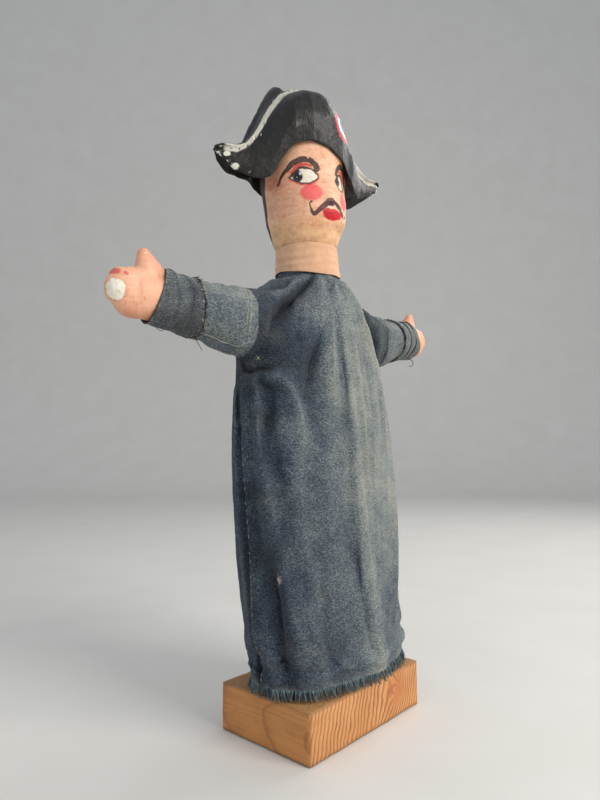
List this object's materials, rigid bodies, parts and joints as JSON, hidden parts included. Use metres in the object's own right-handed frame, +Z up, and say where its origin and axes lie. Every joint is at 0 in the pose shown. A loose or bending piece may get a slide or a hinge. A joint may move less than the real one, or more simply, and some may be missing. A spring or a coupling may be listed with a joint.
{
  "type": "hand puppet",
  "caption": "Glove puppet in a faded blue cloth body with painted head, bicorne hat and outstretched arms, dressed on a leaning post in a softwood display block",
  "frame": {"origin": "centre of the wooden block's underside, on the surface it stands on", "axes": "+Z up; the block is square to the axes; the puppet's body faces -Y, with its right hand towards -X"},
  "size_m": [0.3899, 0.1143, 0.5375],
  "materials": {
    "softwood": "planed and oiled, worn",
    "dowel": "bare",
    "steel": "dull",
    "wire": "dull",
    "blue_cloth": "faded cotton twill",
    "thread": "waxed linen",
    "string": "twisted cotton",
    "tape": "flesh-coloured cotton strip",
    "card": "bare",
    "felt": "felted",
    "flesh_paint": "oil paint on carved wood",
    "black_paint": "glossy black paint"
  },
  "bodies": {
    "stand": {"base_block": "softwood", "post_screw": "steel"},
    "post_body": {"post": "dowel", "stop_pin": "steel"},
    "glove": {"armature_loop": "wire", "front_panel": "blue_cloth", "back_panel": "blue_cloth"},
    "head_swivel": {"finger_hole_wad": "felt"},
    "head_body": {"head": "flesh_paint", "hat": "black_paint", "neck_tube": "card", "neck_tie": "string", "neck_band": "tape"},
    "right_shoulder": {"right_shoulder_wire": "wire"},
    "right_arm": {"right_arm_wire": "wire", "right_finger_tube": "card", "right_hand": "flesh_paint", "right_cuff": "blue_cloth", "right_wrist_tie": "thread", "right_sleeve": "blue_cloth"},
    "left_shoulder": {"left_shoulder_wire": "wire"},
    "left_arm": {"left_arm_wire": "wire", "left_finger_tube": "card", "left_hand": "flesh_paint", "left_cuff": "blue_cloth", "left_wrist_tie": "thread", "left_sleeve": "blue_cloth"}
  },
  "joints": [
    {"name": "post_turn", "type": "hinge", "parent": "stand", "child": "post_body", "pos_m": [0.005, -0.002, 0.036], "axis": [-0.0324, 0.0365, 0.9988], "range_deg": [-30, 30]},
    {"name": "lift_off", "type": "slide", "parent": "post_body", "child": "glove", "axis": [-0.0324, 0.0365, 0.9988], "range_m": [0, 0.42]},
    {"name": "head_turn", "type": "hinge", "parent": "glove", "child": "head_swivel", "pos_m": [-0.00762, 0.01222, 0.42554], "axis": [-0.0324, 0.0365, 0.9988], "range_deg": [-55, 55]},
    {"name": "head_nod", "type": "hinge", "parent": "head_swivel", "child": "head_body", "pos_m": [-0.00762, 0.01222, 0.42554], "axis": [0.9651, -0.2586, 0.0407], "range_deg": [-7, 7]},
    {"name": "right_arm_raise", "type": "hinge", "parent": "glove", "child": "right_shoulder", "pos_m": [-0.09927, 0.0085, 0.32058], "axis": [0.0012, 0.9993, -0.0364], "range_deg": [-45, 50], "deforming": ["right_sleeve"]},
    {"name": "right_arm_swing", "type": "hinge", "parent": "right_shoulder", "child": "right_arm", "pos_m": [-0.12126, 0.0085, 0.31987], "axis": [-0.0324, 0.0365, 0.9988], "range_deg": [-30, 50]},
    {"name": "left_arm_raise", "type": "hinge", "parent": "glove", "child": "left_shoulder", "pos_m": [0.09063, 0.0085, 0.32673], "axis": [-0.0012, -0.9993, 0.0364], "range_deg": [-45, 50], "deforming": ["left_sleeve"]},
    {"name": "left_arm_swing", "type": "hinge", "parent": "left_shoulder", "child": "left_arm", "pos_m": [0.11262, 0.0085, 0.32745], "axis": [0.0324, -0.0365, -0.9988], "range_deg": [-30, 50]}
  ]
}
